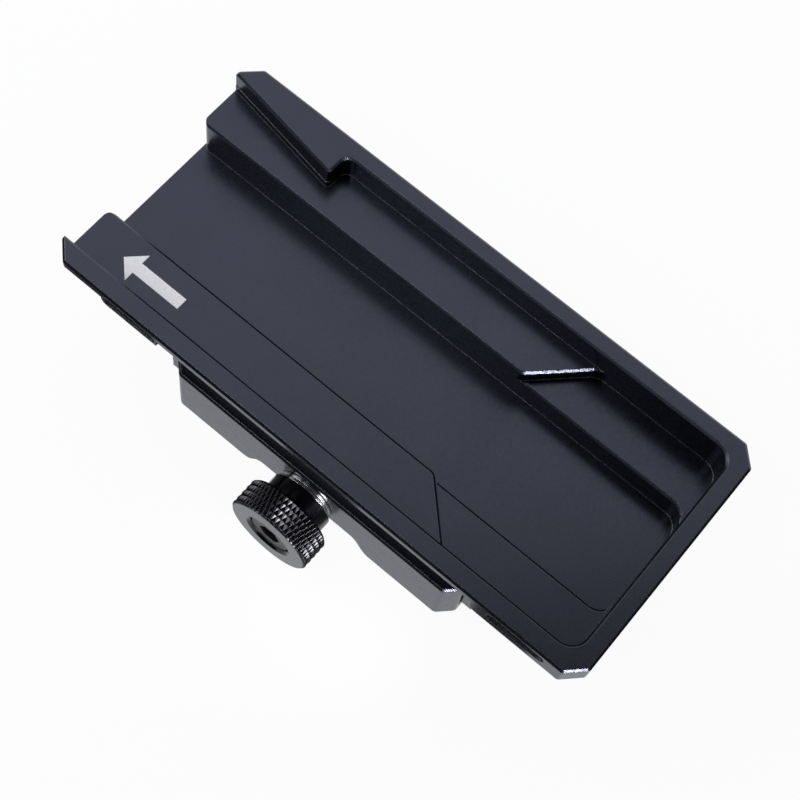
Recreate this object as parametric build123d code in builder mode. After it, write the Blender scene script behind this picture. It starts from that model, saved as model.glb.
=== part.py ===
"""Quick release plate: a milled sliding tray carried on an upside-down screw-knob dovetail clamp.

Millimetres, +Z up. The origin is the middle of the clamp's seat, the face that a dovetail plate is drawn up
against. X runs along the tray from its open end (-X) to its closed end (+X). The knob is on the -Y side.
"""

import os
from math import cos, pi, sin

from build123d import *

os.makedirs("parts", exist_ok=True)

# Tray
TRAY_LENGTH = 140.0
TRAY_WIDTH = 63.4
TRAY_HEIGHT = 20.76
TRAY_SHIFT = 0.6
CHANNEL_FLOOR_THICKNESS = 3.5
CORNER_CUT = 4.0
CORNER_ROUND = 1.0
EDGE_BEVEL = 0.55
INNER_BEVEL = 0.55
BEVEL_STOP = 0.6
FRONT_LIP_WIDTH = 4.82
BACK_RIM_WIDTH = 4.25
END_RIM_WIDTH = 4.5
UPPER_LEDGE_DEPTH = 6.7
LOWER_LEDGE_DEPTH = 10.34
FRONT_LEDGE_WIDTH = 13.0
BACK_LEDGE_WIDTH = 12.0
CUTTER_RADIUS = 4.0
LEDGE_CORNER_RADIUS = 2.0
STEP_TO_OPEN_END = 90.5

# Hooked wedge on the back rim
WEDGE_LENGTH = 31.2
WEDGE_START_WIDTH = 0.8
WEDGE_END_WIDTH = 5.9
WEDGE_NOTCH_RADIUS = 2.2
WEDGE_TIP_RADIUS = 0.9
WEDGE_FOOT_WIDTH = 0.15
WEDGE_FOOT_HEIGHT = 1.9

# Sides of the tray below the rim
FLANGE_THICKNESS = 2.1
WALL_SETBACK = 2.8
WALL_DEPTH = 11.0
KEEL_SETBACK = 5.9
END_SETBACK = 2.8
LONG_RAIL_LENGTH = 26.5
LONG_RAIL_DEPTH = 6.0
SHORT_RAIL_START = 14.6
SHORT_RAIL_LENGTH = 15.2
SHORT_RAIL_DEPTH = 4.25
RAIL_END_RADIUS = 1.6
GRIP_LENGTH = 14.4
GRIP_HEIGHT = 2.9
GRIP_DEPTH = 0.4
GRIP_TOP = 1.0
LONG_RAIL_GRIP_INSET = 8.2
SHORT_RAIL_GRIP_INSET = 0.4

# Clamp
DOVETAIL_WIDTH = 38.0
DOVETAIL_CLEARANCE = 0.2
DOVETAIL_LAND = 0.8
DOVETAIL_FLANK = 3.0
LIP_HEIGHT = 4.5
BASE_LENGTH = 86.0
BASE_WIDTH = 48.0
BASE_HEIGHT = 12.1
JAW_THICKNESS = 3.6
JAW_LENGTH = 80.4
JAW_CORNER_CUT = 3.3
JAW_CORNER_ROUND = 1.6
JAW_BEVEL = 0.5
JAW_TOP_GAP = 0.3
JAW_SLIDE_GAP = 0.3
JAW_CLOSING_ROOM = 0.8
ARCH_WIDTH = 30.7
ARCH_CURVE_LENGTH = 6.5

# Clamp screw, knob and washers
SCREW_RADIUS = 3.0
SCREW_LENGTH = 45.0
SCREW_HEAD_RADIUS = 5.0
SCREW_HEAD_HEIGHT = 6.0
SCREW_SOCKET = 5.0
SCREW_SOCKET_DEPTH = 3.0
SCREW_AXIS_HEIGHT = 3.7
SCREW_BORE_ROOM = 6.0
KNOB_RADIUS = 10.45
KNURL_LENGTH = 7.1
KNURL_DEPTH = 0.4
KNURL_COUNT = 56
KNURL_ROWS = 4
KNOB_BEVEL = 0.5
COLLAR_RADIUS = 7.7
COLLAR_LENGTH = 4.1
RECESS_RADIUS = 5.4
RECESS_BEVEL = 0.6
HEAD_INSET = 0.6
WASHER_THICKNESS = 0.8
WASHER_BEVEL = 0.12
WASHER_GAP = 0.05
OUTER_WASHER_RADIUS = 7.3
INNER_WASHER_RADIUS = 7.0
RUNNING_CLEARANCE = 0.08

# Guide pins and return springs
PIN_RADIUS = 2.0
PIN_LENGTH = 20.0
PIN_SPACING = 52.0
PIN_HEIGHT = 6.0
PIN_INSET = 0.6
PIN_CLEARANCE = 0.05
PIN_BEVEL = 0.3
SPRING_RADIUS = 2.6
SPRING_WIRE = 0.7
SPRING_TURNS = 5
SPRING_WIRE_SIDES = 8
SPRING_SPACING = 32.0
SPRING_POCKET_DEPTH = 10.0
SPRING_CLEARANCE = 0.35
SPRING_SEAT_DEPTH = 1.2
SPRING_END_GAP = 0.1

# Screws that hold the clamp to the tray
BASE_SCREW_RADIUS = 2.0
BASE_SCREW_LENGTH = 10.0
BASE_SCREW_HEAD_RADIUS = 3.5
BASE_SCREW_HEAD_HEIGHT = 4.0
BASE_SCREW_SOCKET = 3.0
BASE_SCREW_SOCKET_DEPTH = 2.0
BASE_SCREW_INSET = 0.6
BASE_SCREW_SPACING_X = 68.0
BASE_SCREW_SPACING_Y = 18.0
BASE_SCREW_CLEARANCE = 0.2
BASE_SCREW_END_ROOM = 0.4
THREAD_CLEARANCE = 0.05

# How far cuts run past the faces that they open
OVERCUT = 1.0
TOLERANCE = 0.01

# Levels and edges of the tray
UNDERSIDE = BASE_HEIGHT
RIM = UNDERSIDE + TRAY_HEIGHT
UPPER_LEDGE = RIM - UPPER_LEDGE_DEPTH
LOWER_LEDGE = RIM - LOWER_LEDGE_DEPTH
CHANNEL_FLOOR = UNDERSIDE + CHANNEL_FLOOR_THICKNESS
OPEN_END = TRAY_SHIFT - TRAY_LENGTH / 2
CLOSED_END = TRAY_SHIFT + TRAY_LENGTH / 2
HALF_WIDTH = TRAY_WIDTH / 2
RECESS_FRONT = -HALF_WIDTH + FRONT_LIP_WIDTH
RECESS_BACK = HALF_WIDTH - BACK_RIM_WIDTH
RECESS_END = CLOSED_END - END_RIM_WIDTH
CHANNEL_FRONT = RECESS_FRONT + FRONT_LEDGE_WIDTH
CHANNEL_BACK = RECESS_BACK - BACK_LEDGE_WIDTH
STEP = OPEN_END + STEP_TO_OPEN_END

# Edges of the clamp
BASE_SIDE = BASE_WIDTH / 2
JAW_BACK = BASE_SIDE + JAW_CLOSING_ROOM
JAW_FACE = JAW_BACK + JAW_THICKNESS
JAW_TOP = BASE_HEIGHT - JAW_TOP_GAP
DOVETAIL_SIDE = DOVETAIL_WIDTH / 2 + DOVETAIL_CLEARANCE
LIP_EDGE = DOVETAIL_SIDE - DOVETAIL_FLANK
FLANK_LOW = -DOVETAIL_LAND - DOVETAIL_FLANK
KNOB_BACK = -JAW_FACE - 2 * WASHER_THICKNESS - WASHER_GAP
KNURL_BACK = KNOB_BACK - COLLAR_LENGTH
KNOB_FACE = KNURL_BACK - KNURL_LENGTH
HEAD_SEAT = KNOB_FACE + HEAD_INSET + SCREW_HEAD_HEIGHT
SCREW_TIP = HEAD_SEAT + SCREW_LENGTH
SPRING_MOUTH = -JAW_BACK - SPRING_SEAT_DEPTH
SPRING_BOTTOM = -BASE_SIDE + SPRING_POCKET_DEPTH


def near(shapes, *points):
    """The shapes whose centres lie nearest to each of the points."""
    return ShapeList([min(shapes, key=lambda s: (s.center() - Vector(*p)).length) for p in points])


# The tray, milled from one block: section, side rails and outline, then its recesses from the top down
wedge_slope = (WEDGE_END_WIDTH - WEDGE_START_WIDTH) / WEDGE_LENGTH
wedge_overcut = RECESS_BACK - WEDGE_START_WIDTH + wedge_slope * OVERCUT
wedge_end = OPEN_END + WEDGE_LENGTH
wedge_tip = RECESS_BACK - WEDGE_END_WIDTH
slope_height = KEEL_SETBACK - WALL_SETBACK
step_front = STEP + FRONT_LEDGE_WIDTH
step_back = STEP + BACK_LEDGE_WIDTH


def recess_outline(foot):
    """Outline of the recess beside the wedge, whose wall stands foot further out than its top edge."""
    Polygon(
        (OPEN_END - OVERCUT, RECESS_FRONT),
        (RECESS_END, RECESS_FRONT),
        (RECESS_END, RECESS_BACK),
        (wedge_end, RECESS_BACK),
        (wedge_end, wedge_tip - foot),
        (OPEN_END - OVERCUT, wedge_overcut - foot),
        align=None,
    )


def round_recess(sketch, foot):
    """Rounds the recess outline's corners as the cutter leaves them."""
    ends = near(sketch.vertices(), (RECESS_END, RECESS_FRONT), (RECESS_END, RECESS_BACK))
    fillet(ends, CUTTER_RADIUS)
    fillet(near(sketch.vertices(), (wedge_end, RECESS_BACK)), WEDGE_NOTCH_RADIUS)
    fillet(near(sketch.vertices(), (wedge_end, wedge_tip - foot)), WEDGE_TIP_RADIUS)


def pocket_outline():
    """Outline of the pocket down to the lower ledges, which begins at the slanted steps."""
    Polygon(
        (step_front, RECESS_FRONT),
        (RECESS_END, RECESS_FRONT),
        (RECESS_END, RECESS_BACK),
        (step_back, RECESS_BACK),
        (STEP, CHANNEL_BACK),
        (OPEN_END - OVERCUT, CHANNEL_BACK),
        (OPEN_END - OVERCUT, CHANNEL_FRONT),
        (STEP, CHANNEL_FRONT),
        align=None,
    )


def round_pocket(sketch):
    """Rounds the pocket's corners as the cutter leaves them, and the steps' own corners."""
    cutter_corners = near(
        sketch.vertices(),
        (step_front, RECESS_FRONT),
        (RECESS_END, RECESS_FRONT),
        (RECESS_END, RECESS_BACK),
        (step_back, RECESS_BACK),
    )
    fillet(cutter_corners, CUTTER_RADIUS)
    step_corners = near(sketch.vertices(), (STEP, CHANNEL_BACK), (STEP, CHANNEL_FRONT))
    fillet(step_corners, LEDGE_CORNER_RADIUS)


def channel_outline():
    """Outline of the channel."""
    Polygon(
        (OPEN_END - OVERCUT, CHANNEL_FRONT),
        (RECESS_END, CHANNEL_FRONT),
        (RECESS_END, CHANNEL_BACK),
        (OPEN_END - OVERCUT, CHANNEL_BACK),
        align=None,
    )


def round_channel(sketch):
    """Rounds the channel's closed end as the cutter leaves it."""
    ends = near(sketch.vertices(), (RECESS_END, CHANNEL_FRONT), (RECESS_END, CHANNEL_BACK))
    fillet(ends, CUTTER_RADIUS)


with BuildPart() as tray:
    with BuildSketch(Plane.YZ.offset(OPEN_END)):
        Polygon(
            (0, UNDERSIDE),
            (HALF_WIDTH - KEEL_SETBACK, UNDERSIDE),
            (HALF_WIDTH - KEEL_SETBACK, RIM - WALL_DEPTH - slope_height),
            (HALF_WIDTH - WALL_SETBACK, RIM - WALL_DEPTH),
            (HALF_WIDTH - WALL_SETBACK, RIM - FLANGE_THICKNESS),
            (HALF_WIDTH, RIM - FLANGE_THICKNESS),
            (HALF_WIDTH, RIM),
            (0, RIM),
            align=None,
        )
        mirror(about=Plane.YZ)
    extrude(amount=TRAY_LENGTH)
    with BuildSketch(Plane.XZ.offset(HALF_WIDTH)):
        with Locations((OPEN_END + SHORT_RAIL_START, RIM - FLANGE_THICKNESS)):
            Rectangle(
                SHORT_RAIL_LENGTH,
                SHORT_RAIL_DEPTH - FLANGE_THICKNESS,
                align=(Align.MIN, Align.MAX),
            )
        with Locations((CLOSED_END - LONG_RAIL_LENGTH, RIM - FLANGE_THICKNESS)):
            Rectangle(
                LONG_RAIL_LENGTH,
                LONG_RAIL_DEPTH - FLANGE_THICKNESS,
                align=(Align.MIN, Align.MAX),
            )
    extrude(amount=-WALL_SETBACK)
    rail_ends = near(
        tray.edges().filter_by(Axis.Y),
        (OPEN_END + SHORT_RAIL_START, WALL_SETBACK / 2 - HALF_WIDTH, RIM - SHORT_RAIL_DEPTH),
        (CLOSED_END - LONG_RAIL_LENGTH, WALL_SETBACK / 2 - HALF_WIDTH, RIM - LONG_RAIL_DEPTH),
    )
    fillet(rail_ends, RAIL_END_RADIUS)
    grip_height = RIM - GRIP_TOP - GRIP_HEIGHT / 2
    with BuildSketch(Plane.XZ.offset(HALF_WIDTH)):
        with Locations(
            (OPEN_END + SHORT_RAIL_START + SHORT_RAIL_GRIP_INSET + GRIP_LENGTH / 2, grip_height),
            (CLOSED_END - LONG_RAIL_GRIP_INSET - GRIP_LENGTH / 2, grip_height),
        ):
            SlotOverall(GRIP_LENGTH, GRIP_HEIGHT)
    extrude(amount=-GRIP_DEPTH, mode=Mode.SUBTRACT)
    split(bisect_by=Plane.XZ, keep=Keep.TOP)
    mirror(about=Plane.XZ)
    with BuildSketch(Plane.YZ.offset(CLOSED_END - END_SETBACK)):
        with Locations((0, RIM - LONG_RAIL_DEPTH)):
            Rectangle(TRAY_WIDTH, TRAY_HEIGHT, align=(Align.CENTER, Align.MAX))
    extrude(amount=END_SETBACK + OVERCUT, mode=Mode.SUBTRACT)
    with BuildSketch(Plane.XY.offset(UNDERSIDE)) as outline:
        with Locations((TRAY_SHIFT, 0)):
            Rectangle(TRAY_LENGTH, TRAY_WIDTH)
        chamfer(outline.vertices(), CORNER_CUT)
        fillet(outline.vertices(), CORNER_ROUND)
    extrude(amount=TRAY_HEIGHT, mode=Mode.INTERSECT)
    chamfer(tray.faces().sort_by(Axis.Z)[-1].edges().sort_by(Axis.X)[1:], EDGE_BEVEL)
    with BuildSketch(Plane.XY.offset(RIM)) as recess:
        recess_outline(0)
        round_recess(recess, 0)
    extrude(amount=-UPPER_LEDGE_DEPTH + WEDGE_FOOT_HEIGHT, mode=Mode.SUBTRACT)
    with BuildSketch(Plane.XY.offset(RIM)) as recess_foot:
        recess_outline(WEDGE_FOOT_WIDTH)
        round_recess(recess_foot, WEDGE_FOOT_WIDTH)
    extrude(amount=-UPPER_LEDGE_DEPTH, mode=Mode.SUBTRACT)
    with BuildSketch(Plane.XY.offset(RIM)) as pocket:
        pocket_outline()
        round_pocket(pocket)
    extrude(amount=-LOWER_LEDGE_DEPTH, mode=Mode.SUBTRACT)
    with BuildSketch(Plane.XY.offset(RIM)) as channel:
        channel_outline()
        round_channel(channel)
    extrude(amount=CHANNEL_FLOOR - RIM, mode=Mode.SUBTRACT)
    with BuildSketch(Plane.XY.offset(UPPER_LEDGE)) as upper_bevel:
        pocket_outline()
        round_pocket(upper_bevel)
        offset(amount=INNER_BEVEL)
        with Locations((OPEN_END - OVERCUT, RECESS_FRONT + BEVEL_STOP)):
            Rectangle(
                max(step_front, step_back) + CUTTER_RADIUS - OPEN_END + OVERCUT,
                RECESS_BACK - RECESS_FRONT - 2 * BEVEL_STOP,
                align=(Align.MIN, Align.MIN),
                mode=Mode.INTERSECT,
            )
    extrude(amount=-INNER_BEVEL, taper=45, mode=Mode.SUBTRACT)
    with BuildSketch(Plane.XY.offset(LOWER_LEDGE)) as lower_bevel:
        channel_outline()
        round_channel(lower_bevel)
        offset(amount=INNER_BEVEL)
        with BuildSketch(mode=Mode.INTERSECT) as bevel_limit:
            pocket_outline()
            round_pocket(bevel_limit)
            offset(amount=-BEVEL_STOP)
    extrude(amount=-INNER_BEVEL, taper=45, mode=Mode.SUBTRACT)
    ledge_height = (CHANNEL_FLOOR + UPPER_LEDGE) / 2
    ledge_corners = near(
        tray.edges().filter_by(Axis.Z),
        (OPEN_END, CHANNEL_FRONT, ledge_height),
        (OPEN_END, CHANNEL_BACK, ledge_height),
    )
    fillet(ledge_corners, LEDGE_CORNER_RADIUS)
    rim_face = tray.faces().filter_by(Axis.Z).sort_by(Axis.Z)[-1]
    walls = tray.faces().filter_by(lambda f: abs(f.normal_at().Z) < TOLERANCE)
    chamfer(rim_face.edges().filter_by(lambda e: any(e.is_same(w) for w in walls.edges())), INNER_BEVEL)
    with BuildSketch(Plane.XY.offset(UNDERSIDE)):
        with GridLocations(BASE_SCREW_SPACING_X, BASE_SCREW_SPACING_Y, 2, 2):
            Circle(BASE_SCREW_RADIUS + THREAD_CLEARANCE)
    screw_reach = BASE_SCREW_INSET + BASE_SCREW_HEAD_HEIGHT + BASE_SCREW_LENGTH - BASE_HEIGHT
    extrude(amount=screw_reach + BASE_SCREW_END_ROOM, mode=Mode.SUBTRACT)
tray.part.label = "tray"
export_step(tray.part, "parts/tray.step")


# Both jaws from one blank: hooked section, plan outline with its outer corners cut off and rounded, bevels, and
# a lower edge raised to the seat over the middle. The fixed jaw runs into the clamp body, the moving one stands
# off it.
arch_low = (ARCH_WIDTH + ARCH_CURVE_LENGTH) / 2
arch_high = (ARCH_WIDTH - ARCH_CURVE_LENGTH) / 2
jaw_blanks = {}
for name, root, hook_gap in (("fixed", BASE_SIDE - OVERCUT, 0), ("moving", JAW_BACK, JAW_SLIDE_GAP)):
    with BuildPart() as jaw:
        with BuildSketch(Plane.YZ.offset(-JAW_LENGTH / 2)):
            Polygon(
                (-JAW_FACE, JAW_TOP),
                (-JAW_FACE, -LIP_HEIGHT),
                (-LIP_EDGE, -LIP_HEIGHT),
                (-LIP_EDGE, FLANK_LOW),
                (-DOVETAIL_SIDE, -DOVETAIL_LAND),
                (-DOVETAIL_SIDE, -hook_gap),
                (-root, -hook_gap),
                (-root, JAW_TOP),
                align=None,
            )
        extrude(amount=JAW_LENGTH)
        with BuildSketch(Plane.XY.offset(-LIP_HEIGHT)) as plan:
            with Locations((0, -JAW_FACE)):
                Rectangle(JAW_LENGTH, JAW_FACE, align=(Align.CENTER, Align.MIN))
            chamfer(plan.vertices().group_by(Axis.Y)[0], JAW_CORNER_CUT)
            fillet(plan.vertices().filter_by(lambda v: v.Y < -TOLERANCE), JAW_CORNER_ROUND)
        extrude(amount=LIP_HEIGHT + JAW_TOP, mode=Mode.INTERSECT)
        jaw_rim = jaw.faces().filter_by(Axis.Z).sort_by(Axis.Z)[-1].edges()
        chamfer(jaw_rim.filter_by(lambda e: e.center().Y < -JAW_FACE + JAW_CORNER_CUT - TOLERANCE), JAW_BEVEL)
        with BuildSketch(Plane.XZ.offset(JAW_FACE + OVERCUT)):
            with BuildLine():
                Spline((arch_low, -LIP_HEIGHT), (arch_high, 0), tangents=[(-1, 0), (-1, 0)])
                Line((arch_high, 0), (-arch_high, 0))
                Spline((-arch_high, 0), (-arch_low, -LIP_HEIGHT), tangents=[(-1, 0), (-1, 0)])
                Polyline(
                    (-arch_low, -LIP_HEIGHT),
                    (-arch_low, -LIP_HEIGHT - OVERCUT),
                    (arch_low, -LIP_HEIGHT - OVERCUT),
                    (arch_low, -LIP_HEIGHT),
                )
            make_face()
        extrude(amount=-JAW_FACE, mode=Mode.SUBTRACT)
    jaw_blanks[name] = jaw.part

# The clamp body with its fixed jaw at the back
with BuildPart() as clamp_base:
    with Locations((0, 0, BASE_HEIGHT / 2)):
        Box(BASE_LENGTH, BASE_WIDTH, BASE_HEIGHT)
    add(jaw_blanks["fixed"].rotate(Axis.Z, 180))
    with BuildSketch(Plane.XZ.offset(BASE_SIDE)):
        with Locations((0, SCREW_AXIS_HEIGHT)):
            Circle(SCREW_RADIUS + RUNNING_CLEARANCE)
    extrude(amount=-(BASE_SIDE + SCREW_TIP + SCREW_BORE_ROOM), mode=Mode.SUBTRACT)
    pin_reach = PIN_INSET + PIN_LENGTH - JAW_FACE + BASE_SIDE
    with BuildSketch(Plane.XZ.offset(BASE_SIDE)):
        with Locations((-PIN_SPACING / 2, PIN_HEIGHT), (PIN_SPACING / 2, PIN_HEIGHT)):
            Circle(PIN_RADIUS + PIN_CLEARANCE)
    extrude(amount=-(pin_reach + JAW_CLOSING_ROOM + OVERCUT), mode=Mode.SUBTRACT)
    with BuildSketch(Plane.XZ.offset(BASE_SIDE)):
        with Locations((-SPRING_SPACING / 2, PIN_HEIGHT), (SPRING_SPACING / 2, PIN_HEIGHT)):
            Circle(SPRING_RADIUS + SPRING_CLEARANCE)
    extrude(amount=-SPRING_POCKET_DEPTH, mode=Mode.SUBTRACT)
    with Locations(Plane.XY.rotated((180, 0, 0))):
        with GridLocations(BASE_SCREW_SPACING_X, BASE_SCREW_SPACING_Y, 2, 2):
            CounterBoreHole(
                BASE_SCREW_RADIUS + BASE_SCREW_CLEARANCE,
                BASE_SCREW_HEAD_RADIUS + BASE_SCREW_CLEARANCE,
                BASE_SCREW_INSET + BASE_SCREW_HEAD_HEIGHT,
                depth=BASE_HEIGHT,
            )
clamp_base.part.label = "clamp_base"
export_step(clamp_base.part, "parts/clamp_base.step")


# The moving jaw: an upright that slides up to the body, and a hooked lip below the seat
with BuildPart() as moving_jaw:
    add(jaw_blanks["moving"])
    with BuildSketch(Plane.XZ.offset(JAW_FACE)):
        with Locations((0, SCREW_AXIS_HEIGHT)):
            Circle(SCREW_RADIUS + RUNNING_CLEARANCE)
    extrude(amount=JAW_BACK - JAW_FACE, mode=Mode.SUBTRACT)
    with BuildSketch(Plane.XZ.offset(JAW_BACK)):
        with Locations((-PIN_SPACING / 2, PIN_HEIGHT), (PIN_SPACING / 2, PIN_HEIGHT)):
            Circle(PIN_RADIUS)
    extrude(amount=JAW_FACE - PIN_INSET - JAW_BACK, mode=Mode.SUBTRACT)
    with BuildSketch(Plane.XZ.offset(JAW_BACK)):
        with Locations((-SPRING_SPACING / 2, PIN_HEIGHT), (SPRING_SPACING / 2, PIN_HEIGHT)):
            Circle(SPRING_RADIUS + SPRING_CLEARANCE)
    extrude(amount=SPRING_SEAT_DEPTH, mode=Mode.SUBTRACT)
moving_jaw.part.label = "moving_jaw"
export_step(moving_jaw.part, "parts/moving_jaw.step")


# Two guide pins pressed into the jaw, and two return springs beside the screw
for side, name in ((-1, "left"), (1, "right")):
    with BuildPart() as guide_pin:
        with BuildSketch(Plane.XZ.offset(JAW_FACE - PIN_INSET)):
            with Locations((side * PIN_SPACING / 2, PIN_HEIGHT)):
                Circle(PIN_RADIUS)
        extrude(amount=-PIN_LENGTH)
        chamfer(guide_pin.edges().filter_by(GeomType.CIRCLE).sort_by(Axis.Y)[-1], PIN_BEVEL)
    guide_pin.part.label = f"guide_pin_{name}"
    export_step(guide_pin.part, f"parts/guide_pin_{name}.step")

    spring_length = SPRING_BOTTOM - SPRING_MOUTH - 2 * SPRING_END_GAP - SPRING_WIRE
    coil_radius = SPRING_RADIUS - SPRING_WIRE / 2
    coil_start = SPRING_MOUTH + SPRING_END_GAP + SPRING_WIRE / 2
    coil_foot = (side * SPRING_SPACING / 2, coil_start, PIN_HEIGHT)
    with BuildPart() as spring:
        with BuildLine():
            pitch = spring_length / SPRING_TURNS
            coil = Helix(pitch, spring_length, coil_radius, center=coil_foot, direction=(0, 1, 0))
        with BuildSketch(Plane(coil @ 0, z_dir=coil % 0)):
            RegularPolygon(SPRING_WIRE / 2, SPRING_WIRE_SIDES)
        sweep(path=coil, is_frenet=True)
    spring.part.label = f"spring_{name}"
    export_step(spring.part, f"parts/spring_{name}.step")


# Washers between the knob and the jaw
for name, radius, face in (
    ("outer_washer", OUTER_WASHER_RADIUS, KNOB_BACK),
    ("inner_washer", INNER_WASHER_RADIUS, -JAW_FACE - WASHER_THICKNESS),
):
    with BuildPart() as washer:
        with BuildSketch(Plane.XZ.offset(-face)):
            with Locations((0, SCREW_AXIS_HEIGHT)):
                Circle(radius)
                Circle(SCREW_RADIUS + RUNNING_CLEARANCE, mode=Mode.SUBTRACT)
        extrude(amount=-WASHER_THICKNESS)
        chamfer(washer.edges().filter_by(GeomType.CIRCLE).group_by(SortBy.RADIUS)[-1], WASHER_BEVEL)
    washer.part.label = name
    export_step(washer.part, f"parts/{name}.step")


# The knob's diamond knurl: rings of peaks and valleys that swap from ring to ring, joined by flat facets that
# fold along the grooves between the valleys, with a plain ring at each beveled end
knob_plane = Plane((0, KNOB_FACE, SCREW_AXIS_HEIGHT), x_dir=(1, 0, 0), z_dir=(0, 1, 0))
ring_points = 2 * KNURL_COUNT
row_length = (KNURL_LENGTH - 2 * KNOB_BEVEL) / KNURL_ROWS
ring_heights = [0, *(KNOB_BEVEL + row * row_length for row in range(KNURL_ROWS + 1)), KNURL_LENGTH]
rings = []
for row, height in enumerate(ring_heights):
    ring = []
    for k in range(ring_points):
        inset = KNOB_BEVEL if height in (0, KNURL_LENGTH) else KNURL_DEPTH * ((k + row) % 2)
        angle = 2 * pi * k / ring_points
        spoke = Vector(cos(angle), sin(angle)) * (KNOB_RADIUS - inset)
        ring.append(knob_plane.from_local_coords(spoke + Vector(0, 0, height)))
    rings.append(ring)
facets = [Face(Wire.make_polygon(rings[0])), Face(Wire.make_polygon(rings[-1]))]
for row, (low, high) in enumerate(zip(rings, rings[1:])):
    for k in range(ring_points):
        n = (k + 1) % ring_points
        if (k + row) % 2:
            corners = ((low[k], low[n], high[n]), (low[k], high[n], high[k]))
        else:
            corners = ((low[k], low[n], high[k]), (low[n], high[n], high[k]))
        facets += [Face(Wire.make_polygon(triangle)) for triangle in corners]

# The knob: the knurled grip, a plain collar, and a recess for the screw's head
with BuildPart() as knob:
    add(Solid(Shell(facets)))
    with BuildSketch(knob_plane.offset(KNURL_LENGTH)):
        Circle(COLLAR_RADIUS)
    extrude(amount=COLLAR_LENGTH)
    with BuildSketch(knob_plane):
        Circle(RECESS_RADIUS)
    extrude(amount=HEAD_SEAT - KNOB_FACE, mode=Mode.SUBTRACT)
    chamfer(near(knob.edges().filter_by(GeomType.CIRCLE), (0, KNOB_FACE, SCREW_AXIS_HEIGHT)), RECESS_BEVEL)
    with BuildSketch(knob_plane):
        Circle(SCREW_RADIUS + RUNNING_CLEARANCE)
    extrude(amount=KNURL_LENGTH + COLLAR_LENGTH, mode=Mode.SUBTRACT)
knob.part.label = "knob"
export_step(knob.part, "parts/knob.step")


# The clamp screw: socket head in the knob's recess, shank through the jaw into the body
with BuildPart() as clamp_screw:
    with BuildSketch(knob_plane.offset(HEAD_INSET)):
        Circle(SCREW_HEAD_RADIUS)
    extrude(amount=SCREW_HEAD_HEIGHT)
    with BuildSketch(knob_plane.offset(HEAD_INSET + SCREW_HEAD_HEIGHT)):
        Circle(SCREW_RADIUS)
    extrude(amount=SCREW_LENGTH)
    with BuildSketch(knob_plane.offset(HEAD_INSET)):
        RegularPolygon(SCREW_SOCKET / 2, 6, major_radius=False)
    extrude(amount=SCREW_SOCKET_DEPTH, mode=Mode.SUBTRACT)
clamp_screw.part.label = "clamp_screw"
export_step(clamp_screw.part, "parts/clamp_screw.step")


# Socket screws that hold the clamp body to the tray
with BuildPart() as base_screws:
    with BuildSketch(Plane.XY.offset(BASE_SCREW_INSET)):
        with GridLocations(BASE_SCREW_SPACING_X, BASE_SCREW_SPACING_Y, 2, 2):
            Circle(BASE_SCREW_HEAD_RADIUS)
    extrude(amount=BASE_SCREW_HEAD_HEIGHT)
    with BuildSketch(Plane.XY.offset(BASE_SCREW_INSET + BASE_SCREW_HEAD_HEIGHT)):
        with GridLocations(BASE_SCREW_SPACING_X, BASE_SCREW_SPACING_Y, 2, 2):
            Circle(BASE_SCREW_RADIUS)
    extrude(amount=BASE_SCREW_LENGTH)
    with BuildSketch(Plane.XY.offset(BASE_SCREW_INSET)):
        with GridLocations(BASE_SCREW_SPACING_X, BASE_SCREW_SPACING_Y, 2, 2):
            RegularPolygon(BASE_SCREW_SOCKET / 2, 6, major_radius=False)
    extrude(amount=BASE_SCREW_SOCKET_DEPTH, mode=Mode.SUBTRACT)
base_screws.part.label = "base_screws"
export_step(base_screws.part, "parts/base_screws.step")
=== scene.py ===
"""Looks of the tripod quick release plate: black anodised metal, steel fittings and a printed arrow, on a white
studio floor, seen from where the photograph was taken. Metres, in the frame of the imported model."""

from math import pi, radians, tan

import bpy
from mathutils import Matrix, Vector


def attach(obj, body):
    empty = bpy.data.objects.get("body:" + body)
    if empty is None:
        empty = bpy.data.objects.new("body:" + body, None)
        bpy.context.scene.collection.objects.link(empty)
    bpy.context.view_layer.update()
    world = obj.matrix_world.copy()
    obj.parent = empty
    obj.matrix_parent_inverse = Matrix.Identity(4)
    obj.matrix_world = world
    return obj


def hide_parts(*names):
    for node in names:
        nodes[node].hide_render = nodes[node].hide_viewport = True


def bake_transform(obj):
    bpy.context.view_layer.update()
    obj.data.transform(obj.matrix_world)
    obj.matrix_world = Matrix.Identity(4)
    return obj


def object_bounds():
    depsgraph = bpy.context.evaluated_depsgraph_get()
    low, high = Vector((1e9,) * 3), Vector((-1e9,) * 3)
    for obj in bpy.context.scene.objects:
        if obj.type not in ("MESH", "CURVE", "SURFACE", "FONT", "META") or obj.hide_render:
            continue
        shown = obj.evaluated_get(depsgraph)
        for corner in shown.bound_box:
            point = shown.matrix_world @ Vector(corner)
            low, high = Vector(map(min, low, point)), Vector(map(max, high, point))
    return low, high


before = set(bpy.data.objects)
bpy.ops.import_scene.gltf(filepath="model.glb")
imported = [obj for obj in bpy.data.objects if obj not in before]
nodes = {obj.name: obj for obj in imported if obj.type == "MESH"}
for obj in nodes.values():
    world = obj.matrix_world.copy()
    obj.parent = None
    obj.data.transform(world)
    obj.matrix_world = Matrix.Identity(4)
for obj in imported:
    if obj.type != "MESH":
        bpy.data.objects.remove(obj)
cad_low, cad_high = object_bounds()

MM = 0.001

# Camera, as solved from the photograph's straight edges
CAMERA_PLACE = Vector((67.59, -127.68, 354.73)) * MM
CAMERA_FORWARD = Vector((-0.1746, 0.3411, -0.9237))
CAMERA_UP = Vector((-0.6172, 0.6930, 0.3726))
CAMERA_NEAR = 0.01
LENS_MM = 76.8
SENSOR_MM = 36.0

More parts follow.
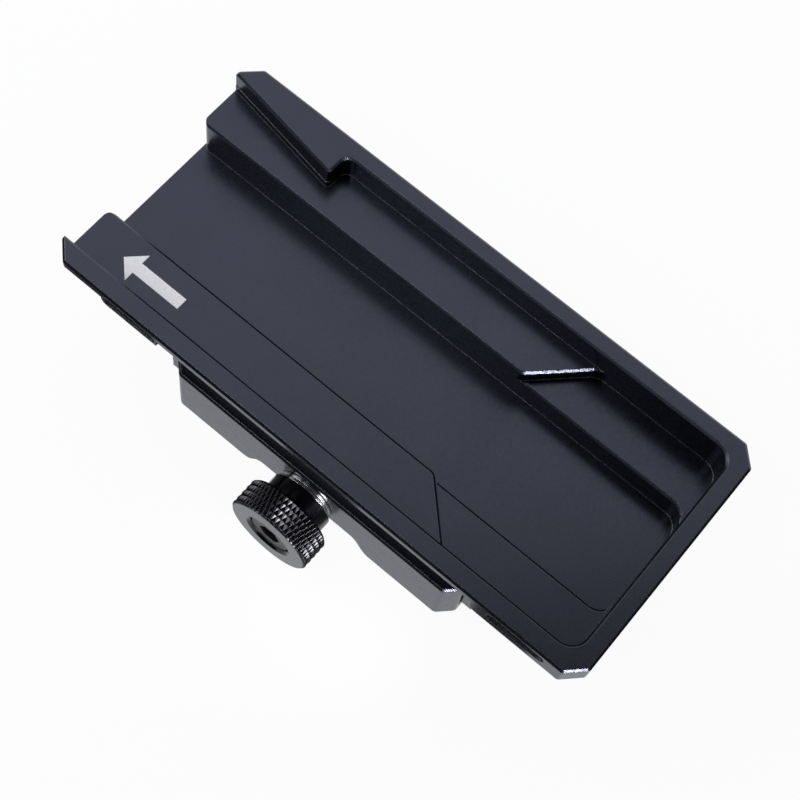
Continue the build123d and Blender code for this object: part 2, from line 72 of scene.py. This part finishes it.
# Colours, linear
ANODISED = (0.0565, 0.0595, 0.077)
KNOB_ANODISED = (0.043, 0.043, 0.047)
BLACK_OXIDE = (0.045, 0.045, 0.047)
STEEL = (0.62, 0.61, 0.59)
PRINT_WHITE = (0.82, 0.81, 0.82)
FLOOR_WHITE = (0.9, 0.9, 0.9)
CARD_BLACK = (0.02, 0.02, 0.02)
# Lighter colour along the edges: a painted edge highlight
PAINTED_EDGE_LIGHT = (0.12, 0.12, 0.125)
EDGE_TINT = (0.88, 0.89, 0.91)
SKY = (0.98, 1.0, 1.08)

# Softened edges: their radius, and the cosines of the turn at which the painted edge highlight starts and is
# full
EDGE_ROUND = 0.2 * MM
EDGE_SAMPLES = 10
EDGE_START = 0.985
EDGE_FULL = 0.92

# Noise in the finishes: the part of its range that is used, scales per metre, details and shares of change
NOISE_LOW = 0.3
NOISE_HIGH = 0.7
TONE_SCALE = 60
TONE_DETAIL = 4
GLOSS_SCALE = 900
GLOSS_DETAIL = 3
GLOSS_CHANGE = 0.1
GRAIN_DETAIL = 2
INK_SCALE = 2500
INK_DETAIL = 3
INK_CHANGE = 0.07

# Gloss of the plain materials
INK_ROUGHNESS = 0.6
CARD_ROUGHNESS = 1.0

# Printed arrow on the front ledge, pointing to the open end
UPPER_LEDGE_DEPTH = 6.7 * MM
PRINT_THICKNESS = 0.02 * MM
ARROW_TIP_X = -59.4 * MM
ARROW_MIDDLE_Y = -20.3 * MM
ARROW_HEAD_LENGTH = 3.9 * MM
ARROW_HEAD_WIDTH = 7.8 * MM
ARROW_SHAFT_LENGTH = 12.65 * MM
ARROW_SHAFT_WIDTH = 2.9 * MM

# White floor
FLOOR_SIZE = 0.34
FLOOR_GAP = 0.02 * MM
FLOOR_GLOW = 0.94

# Soft lights, each with the direction from the part to the lamp
FRONT_AIM = Vector((-0.22, -0.49, 0.845))
FRONT_DISTANCE = 0.9
FRONT_SIZE = (0.26, 0.2)
FRONT_RADIANCE = 6.5
FILL_AIM = Vector((-0.82, -0.15, 0.55))
FILL_DISTANCE = 0.9
FILL_SIZE = (0.6, 0.6)
FILL_RADIANCE = 2.5

# Small lamps beside the knob, for the sparkle of its knurl
KNOB_PLACE = Vector((0, -38, 4)) * MM
KNOB_SPREAD = radians(90)
SIDE_AIM = Vector((0.85, -0.12, 0.47))
SIDE_DISTANCE = 0.055
SIDE_SIZE = (0.01, 0.028)
SIDE_RADIANCE = 24.0
LOW_AIM = Vector((0.95, -0.25, 0.17))
LOW_DISTANCE = 0.06
LOW_SIZE = (0.01, 0.01)
LOW_RADIANCE = 20.0

# Narrow lamps that make bevels gleam: the bevel's place, the direction to the lamp, its width and its radiance
GLINT_DISTANCE = 0.05
GLINT_HEIGHT = 3 * MM
GLINT_SPREAD = radians(4)
STEP_AIM = Vector((0.736, -0.570, 0.364))
TRAY_CORNER_AIM = Vector((0.82, -0.53, 0.2))
JAW_CORNER_AIM = Vector((0.77, -0.58, 0.25))
GLINTS = (
    (Vector((27.1, 20.9, 26.0)) * MM, STEP_AIM, 18 * MM, 1300.0),
    (Vector((-37.4, 25.8, 32.6)) * MM, STEP_AIM, 5 * MM, 1000.0),
    (Vector((68.0, -30.2, 32.5)) * MM, TRAY_CORNER_AIM, 7 * MM, 700.0),
    (Vector((38.1, -27.8, 11.5)) * MM, JAW_CORNER_AIM, 4 * MM, 700.0),
)

# Black cards round the part, which put dark lines in the metal
CARD_DISTANCE = 1.0
FRONT_CARD_HEIGHT = 0.6
SIDE_CARD_HEIGHT = 0.5
CARD_DROP = 0.5
CEILING_HEIGHT = 1.1
CEILING_SLANT = 0.33
CEILING_FRONT = -0.2

# Small black cards on the floor, with their ends along the tray, seen only in reflections: a painted dark
# reflection in the tray's side
FLAG_HEIGHT = 0.5 * MM
FLAG_NEAR = -36 * MM
FLAG_FAR = -60 * MM
FLAG_LEFT = (-82 * MM, -52 * MM)
FLAG_RIGHT = (42 * MM, 58 * MM)


def new_material(name):
    """A material with a bare Principled shader. Returns it, its node tree and the shader."""
    material = bpy.data.materials.new(name)
    material.use_nodes = True
    tree = material.node_tree
    return material, tree, tree.nodes["Principled BSDF"]


def noise(tree, scale, detail):
    """A noise texture laid out in metres on the object."""
    place = tree.nodes.new("ShaderNodeTexCoord")
    texture = tree.nodes.new("ShaderNodeTexNoise")
    texture.inputs["Scale"].default_value = scale
    texture.inputs["Detail"].default_value = detail
    tree.links.new(place.outputs["Object"], texture.inputs["Vector"])
    return texture.outputs["Fac"]


def spread(tree, value, low, high):
    """Maps a noise's middle range to low..high."""
    span = tree.nodes.new("ShaderNodeMapRange")
    span.inputs["From Min"].default_value = NOISE_LOW
    span.inputs["From Max"].default_value = NOISE_HIGH
    span.inputs["To Min"].default_value = low
    span.inputs["To Max"].default_value = high
    tree.links.new(value, span.inputs["Value"])
    return span.outputs["Result"]


def tint(tree, value, colour, change):
    """A colour that a noise makes lighter and darker by a share of itself."""
    ramp = tree.nodes.new("ShaderNodeValToRGB")
    ramp.color_ramp.elements[0].position = NOISE_LOW
    ramp.color_ramp.elements[0].color = (*(c * (1 - change) for c in colour), 1)
    ramp.color_ramp.elements[1].position = NOISE_HIGH
    ramp.color_ramp.elements[1].color = (*(c * (1 + change) for c in colour), 1)
    tree.links.new(value, ramp.inputs["Fac"])
    return ramp.outputs["Color"]


def rounded_normal(tree):
    """The surface's normal with slightly rounded edges."""
    edges = tree.nodes.new("ShaderNodeBevel")
    edges.samples = EDGE_SAMPLES
    edges.inputs["Radius"].default_value = EDGE_ROUND
    return edges.outputs["Normal"]


def painted_edge_light(tree, rounded, colour):
    """The colour, going over to a lighter colour in a thin line along the edges: a painted edge highlight."""
    surface = tree.nodes.new("ShaderNodeNewGeometry")
    match = tree.nodes.new("ShaderNodeVectorMath")
    match.operation = "DOT_PRODUCT"
    tree.links.new(surface.outputs["Normal"], match.inputs[0])
    tree.links.new(rounded, match.inputs[1])
    share = tree.nodes.new("ShaderNodeMapRange")
    share.inputs["From Min"].default_value = EDGE_START
    share.inputs["From Max"].default_value = EDGE_FULL
    tree.links.new(match.outputs["Value"], share.inputs["Value"])
    # Mix towards the lighter colour where the edge turns: a painted edge highlight
    lit_edges = tree.nodes.new("ShaderNodeMixRGB")
    lit_edges.inputs["Color2"].default_value = (*PAINTED_EDGE_LIGHT, 1)
    tree.links.new(share.outputs["Result"], lit_edges.inputs["Fac"])
    tree.links.new(colour, lit_edges.inputs["Color1"])
    return lit_edges.outputs["Color"]


def grain(tree, shader, rounded, scale, height):
    """Fine relief of the surface, over its rounded edges."""
    bump = tree.nodes.new("ShaderNodeBump")
    bump.inputs["Strength"].default_value = 1.0
    bump.inputs["Distance"].default_value = height
    tree.links.new(noise(tree, scale, GRAIN_DETAIL), bump.inputs["Height"])
    tree.links.new(rounded, bump.inputs["Normal"])
    tree.links.new(bump.outputs["Normal"], shader.inputs["Normal"])


def metal(name, colour, roughness, mottle, grain_scale, grain_height, lit_edges=False):
    """A metal with slight changes of tone and gloss, a fine grain and, if asked, lighter edges painted as a
    highlight.
    """
    material, tree, shader = new_material(name)
    shader.inputs["Metallic"].default_value = 1.0
    shader.inputs["Specular Tint"].default_value = (*EDGE_TINT, 1)
    rounded = rounded_normal(tree)
    coat = tint(tree, noise(tree, TONE_SCALE, TONE_DETAIL), colour, mottle)
    tree.links.new(painted_edge_light(tree, rounded, coat) if lit_edges else coat, shader.inputs["Base Color"])
    smoothest = roughness * (1 - GLOSS_CHANGE)
    roughest = roughness * (1 + GLOSS_CHANGE)
    gloss = spread(tree, noise(tree, GLOSS_SCALE, GLOSS_DETAIL), smoothest, roughest)
    tree.links.new(gloss, shader.inputs["Roughness"])
    grain(tree, shader, rounded, grain_scale, grain_height)
    return material


def print_material():
    """Matt white printing ink."""
    material, tree, shader = new_material("arrow_ink")
    shader.inputs["Roughness"].default_value = INK_ROUGHNESS
    ink = tint(tree, noise(tree, INK_SCALE, INK_DETAIL), PRINT_WHITE, INK_CHANGE)
    tree.links.new(ink, shader.inputs["Base Color"])
    return material


def card_material():
    """Matt black card."""
    material, _, shader = new_material("card_black")
    shader.inputs["Base Color"].default_value = (*CARD_BLACK, 1)
    shader.inputs["Roughness"].default_value = CARD_ROUGHNESS
    return material


def paint(names, material):
    """Gives the CAD nodes this material alone."""
    for name in names:
        slots = nodes[name].data.materials
        slots.clear()
        slots.append(material)


def new_object(name, points, faces, material):
    """A mesh object in the scene."""
    mesh = bpy.data.meshes.new(name)
    mesh.from_pydata(points, [], faces)
    mesh.materials.append(material)
    made = bpy.data.objects.new(name, mesh)
    bpy.context.scene.collection.objects.link(made)
    return made


def build_arrow():
    """The arrow as a thin flat mark on the front ledge."""
    low = cad_high.z - UPPER_LEDGE_DEPTH
    high = low + PRINT_THICKNESS
    head = ARROW_TIP_X + ARROW_HEAD_LENGTH
    tail = head + ARROW_SHAFT_LENGTH
    half_head = ARROW_HEAD_WIDTH / 2
    half_shaft = ARROW_SHAFT_WIDTH / 2
    outline = (
        (ARROW_TIP_X, 0),
        (head, -half_head),
        (head, -half_shaft),
        (tail, -half_shaft),
        (tail, half_shaft),
        (head, half_shaft),
        (head, half_head),
    )
    count = len(outline)
    points = [(x, ARROW_MIDDLE_Y + y, z) for z in (low, high) for x, y in outline]
    faces = [tuple(reversed(range(count))), tuple(range(count, 2 * count))]
    for k in range(count):
        n = (k + 1) % count
        faces.append((k, n, count + n, count + k))
    arrow = new_object("arrow_mark", points, faces, print_material())
    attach(arrow, "plate")


def build_springs():
    """The return springs, which stretch between the clamp's body and the jaw."""
    for node in ("spring_left", "spring_right"):
        coil = bpy.data.objects.new(f"{node}_coil", nodes[node].data.copy())
        bpy.context.scene.collection.objects.link(coil)
        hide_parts(node)
        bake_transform(coil)


def seen_directly(tree, share):
    """The share where a camera, glossy or transmission ray looks, and 0 for other light."""
    path = tree.nodes.new("ShaderNodeLightPath")
    either = path.outputs["Is Camera Ray"]
    for ray in ("Is Glossy Ray", "Is Transmission Ray"):
        larger = tree.nodes.new("ShaderNodeMath")
        larger.operation = "MAXIMUM"
        tree.links.new(either, larger.inputs[0])
        tree.links.new(path.outputs[ray], larger.inputs[1])
        either = larger.outputs["Value"]
    scaled = tree.nodes.new("ShaderNodeMath")
    scaled.operation = "MULTIPLY"
    scaled.inputs[1].default_value = share
    tree.links.new(either, scaled.inputs[0])
    return scaled.outputs["Value"]


def floor_material():
    """White paper that the camera and mirrors see as nearly plain white, with a faint shadow."""
    material = bpy.data.materials.new("floor_white")
    material.use_nodes = True
    tree = material.node_tree
    tree.nodes.clear()
    paper = tree.nodes.new("ShaderNodeBsdfDiffuse")
    paper.inputs["Color"].default_value = (*FLOOR_WHITE, 1)
    glow = tree.nodes.new("ShaderNodeEmission")
    mix = tree.nodes.new("ShaderNodeMixShader")
    output = tree.nodes.new("ShaderNodeOutputMaterial")
    tree.links.new(seen_directly(tree, FLOOR_GLOW), mix.inputs["Fac"])
    tree.links.new(paper.outputs["BSDF"], mix.inputs[1])
    tree.links.new(glow.outputs["Emission"], mix.inputs[2])
    tree.links.new(mix.outputs["Shader"], output.inputs["Surface"])
    return material


def build_floor():
    """The floor that the part stands on."""
    half = FLOOR_SIZE / 2
    height = cad_low.z - FLOOR_GAP
    corners = [(x * half, y * half, height) for x, y in ((-1, -1), (1, -1), (1, 1), (-1, 1))]
    new_object("floor", corners, [(0, 1, 2, 3)], floor_material())


def build_world():
    """A plain white surround."""
    world = bpy.data.worlds.new("studio")
    bpy.context.scene.world = world
    world.use_nodes = True
    world.node_tree.nodes["Background"].inputs["Color"].default_value = (*SKY, 1)
    world.node_tree.nodes["Background"].inputs["Strength"].default_value = 1.0


def build_card(name, corners, material):
    """One card that the camera doesn't see."""
    card = new_object(name, corners, [tuple(range(len(corners)))], material)
    card.visible_camera = False
    return card


def build_cards(material):
    """Cards outside the picture: in front, at both sides, and overhead on the right."""
    far = CARD_DISTANCE
    low = cad_low.z - CARD_DROP
    front = cad_low.z + FRONT_CARD_HEIGHT
    side = cad_low.z + SIDE_CARD_HEIGHT
    cards = {
        "card_front": ((-far, -far, low), (far, -far, low), (far, -far, front), (-far, -far, front)),
        "card_right": ((far, -far, low), (far, far, low), (far, far, side), (far, -far, side)),
        "card_left": ((-far, far, low), (-far, -far, low), (-far, -far, side), (-far, far, side)),
        "card_ceiling": (
            (-far, -far, CEILING_HEIGHT),
            (far, -far, CEILING_HEIGHT),
            (far, far, CEILING_HEIGHT),
            (far - CEILING_SLANT, far, CEILING_HEIGHT),
            (CEILING_FRONT - CEILING_SLANT, CEILING_FRONT, CEILING_HEIGHT),
            (-far, CEILING_FRONT, CEILING_HEIGHT),
        ),
    }
    for name, corners in cards.items():
        build_card(name, corners, material)


def build_flags(material):
    """Two small cards lying in front of the tray's ends, which the camera, diffuse light and shadows ignore: a
    painted dark reflection in the tray's side.
    """
    height = cad_low.z + FLAG_HEIGHT
    for name, (left, right) in (("flag_left", FLAG_LEFT), ("flag_right", FLAG_RIGHT)):
        corners = (
            (left, FLAG_FAR, height),
            (right, FLAG_FAR, height),
            (right, FLAG_NEAR, height),
            (left, FLAG_NEAR, height),
        )
        flag = build_card(name, corners, material)
        # Seen in reflections alone, as a painted dark reflection
        flag.visible_diffuse = False
        flag.visible_shadow = False


def build_light(name, target, aim, distance, size, radiance, cone=pi):
    """A light that looks at the target from the given direction. The radiance is along the cone's axis."""
    light = bpy.data.lights.new(name, "AREA")
    light.shape = "RECTANGLE"
    light.size, light.size_y = size
    light.spread = cone
    half = cone / 2
    focus = 1 if cone == pi else tan(half) / (tan(half) - half)
    light.energy = radiance * pi * light.size * light.size_y / focus
    lamp = bpy.data.objects.new(name, light)
    direction = aim.normalized()
    lamp.location = target + direction * distance
    lamp.rotation_euler = direction.to_track_quat("Z", "Y").to_euler()
    lamp.visible_camera = False
    bpy.context.scene.collection.objects.link(lamp)


def build_camera():
    """The camera where the photograph was taken."""
    data = bpy.data.cameras.new("camera")
    data.sensor_fit = "HORIZONTAL"
    data.sensor_width = SENSOR_MM
    data.lens = LENS_MM
    data.clip_start = CAMERA_NEAR
    camera = bpy.data.objects.new("camera", data)
    back = -CAMERA_FORWARD.normalized()
    right = CAMERA_UP.cross(back).normalized()
    up = back.cross(right)
    turn = Matrix((right, up, back)).transposed()
    camera.matrix_world = Matrix.Translation(CAMERA_PLACE) @ turn.to_4x4()
    bpy.context.scene.collection.objects.link(camera)
    bpy.context.scene.camera = camera


# The tray, clamp base and jaw get the painted edge highlight
anodised = metal(
    "anodised", ANODISED, roughness=0.28, mottle=0.04, grain_scale=4500, grain_height=0.002 * MM, lit_edges=True
)
knob_anodised = metal(
    "knob_anodised", KNOB_ANODISED, roughness=0.18, mottle=0.05, grain_scale=3000, grain_height=0.001 * MM
)
black_oxide = metal(
    "black_oxide", BLACK_OXIDE, roughness=0.4, mottle=0.1, grain_scale=3000, grain_height=0.003 * MM
)
steel = metal("steel", STEEL, roughness=0.16, mottle=0.04, grain_scale=2000, grain_height=0.001 * MM)
spring_wire = metal(
    "spring_wire", STEEL, roughness=0.35, mottle=0.08, grain_scale=2000, grain_height=0.002 * MM
)
paint(("tray", "clamp_base", "moving_jaw"), anodised)
paint(("knob",), knob_anodised)
paint(("clamp_screw", "base_screws"), black_oxide)
paint(("outer_washer", "inner_washer", "guide_pin_left", "guide_pin_right"), steel)
paint(("spring_left", "spring_right"), spring_wire)
build_arrow()
build_springs()
build_floor()
build_world()
black_card = card_material()
build_cards(black_card)
build_flags(black_card)
build_light("front_box", Vector(), FRONT_AIM, FRONT_DISTANCE, FRONT_SIZE, FRONT_RADIANCE)
build_light("fill_box", Vector(), FILL_AIM, FILL_DISTANCE, FILL_SIZE, FILL_RADIANCE)
build_light("knob_side", KNOB_PLACE, SIDE_AIM, SIDE_DISTANCE, SIDE_SIZE, SIDE_RADIANCE, KNOB_SPREAD)
build_light("knob_low", KNOB_PLACE, LOW_AIM, LOW_DISTANCE, LOW_SIZE, LOW_RADIANCE, KNOB_SPREAD)
for k, (place, aim, width, radiance) in enumerate(GLINTS):
    build_light(f"glint_{k}", place, aim, GLINT_DISTANCE, (width, GLINT_HEIGHT), radiance, GLINT_SPREAD)
build_camera()
bpy.context.scene.view_settings.view_transform = "Standard"
